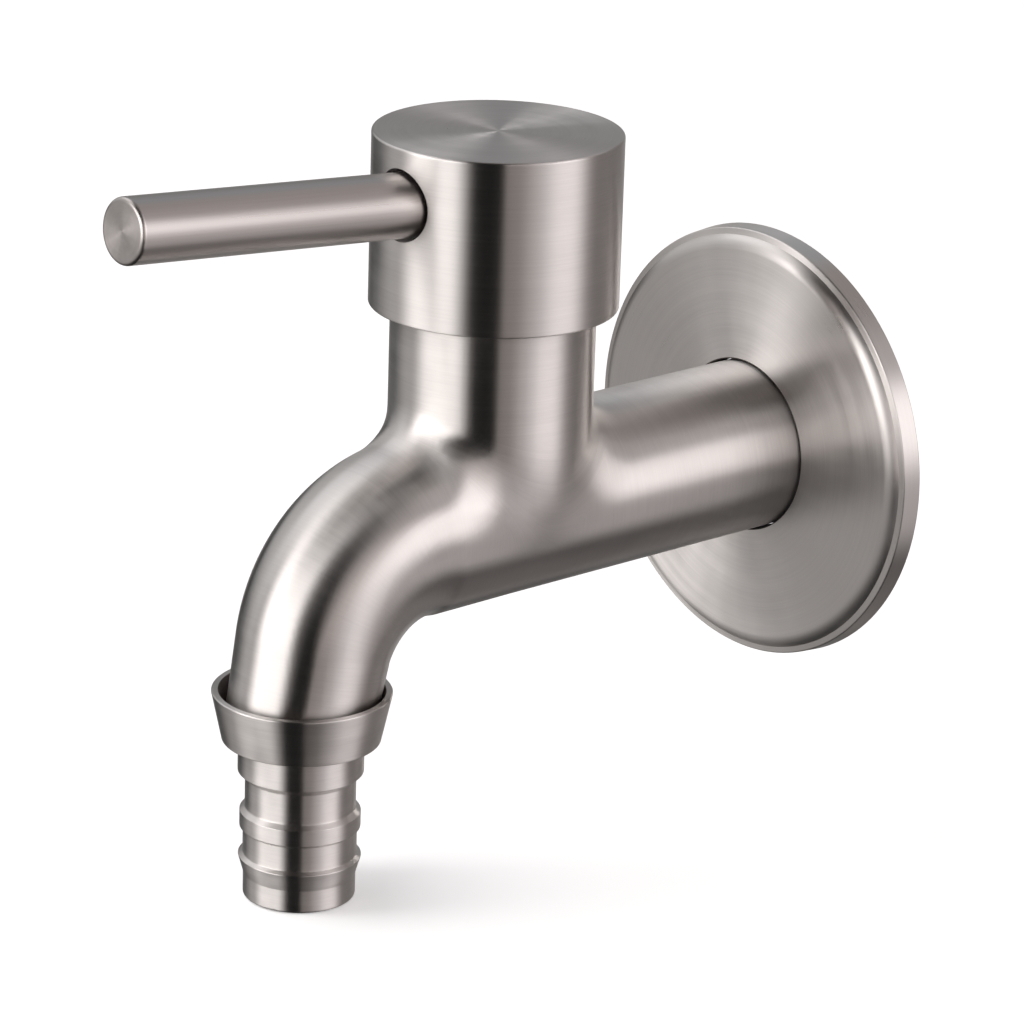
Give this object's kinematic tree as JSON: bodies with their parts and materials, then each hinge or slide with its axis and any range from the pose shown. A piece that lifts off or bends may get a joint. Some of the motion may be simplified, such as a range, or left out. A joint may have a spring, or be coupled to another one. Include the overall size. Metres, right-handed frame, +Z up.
{
  "type": "bib tap",
  "caption": "Wall-mounted bib tap with a turning cylindrical handle cap and straight lever, curved spout, sliding wall flange and barbed hose tail.",
  "frame": {"origin": "where the inlet axis meets the wall plane", "axes": "+Y along the inlet into the wall, +Z up along the valve column, +X to the right seen from the wall's side of the room with the spout pointing at the viewer"},
  "size_m": [0.065, 0.1334, 0.1062],
  "materials": {
    "body_steel": "finely brushed stainless steel",
    "cap_steel": "turned and brushed stainless steel",
    "lever_steel": "satin stainless steel bar",
    "flange_steel": "spun and brushed stainless steel",
    "tail_steel": "turned stainless steel",
    "spring_steel": "dark hardened steel",
    "brass": "turned brass",
    "ceramic": "lapped alumina ceramic",
    "nylon": "natural nylon",
    "rubber": "black nitrile rubber"
  },
  "bodies": {
    "tap": {"tap_body": "body_steel", "inlet_nipple": "body_steel", "headpart_body": "brass", "bonnet_gasket": "rubber", "seat_seal": "rubber", "lower_ceramic_disc": "ceramic", "centring_ring": "nylon", "hose_tail": "tail_steel", "tail_washer": "rubber"},
    "handle": {"handle_cap": "cap_steel", "lever_rod": "lever_steel", "lever_oring": "rubber", "grub_screw": "spring_steel", "spindle": "brass", "spindle_orings": "rubber", "spindle_circlip": "spring_steel", "glide_washer": "nylon", "upper_ceramic_disc": "ceramic"},
    "flange": {"wall_flange": "flange_steel", "flange_grip_ring": "rubber"}
  },
  "joints": [
    {"name": "handle_turn", "type": "hinge", "parent": "tap", "child": "handle", "pos_m": [0, -0.0545, 0.0458], "axis": [0, 0, 1], "range_deg": [0, 90]},
    {"name": "flange_slide", "type": "slide", "parent": "tap", "child": "flange", "axis": [0, -1, 0], "range_m": [0, 0.028]}
  ]
}
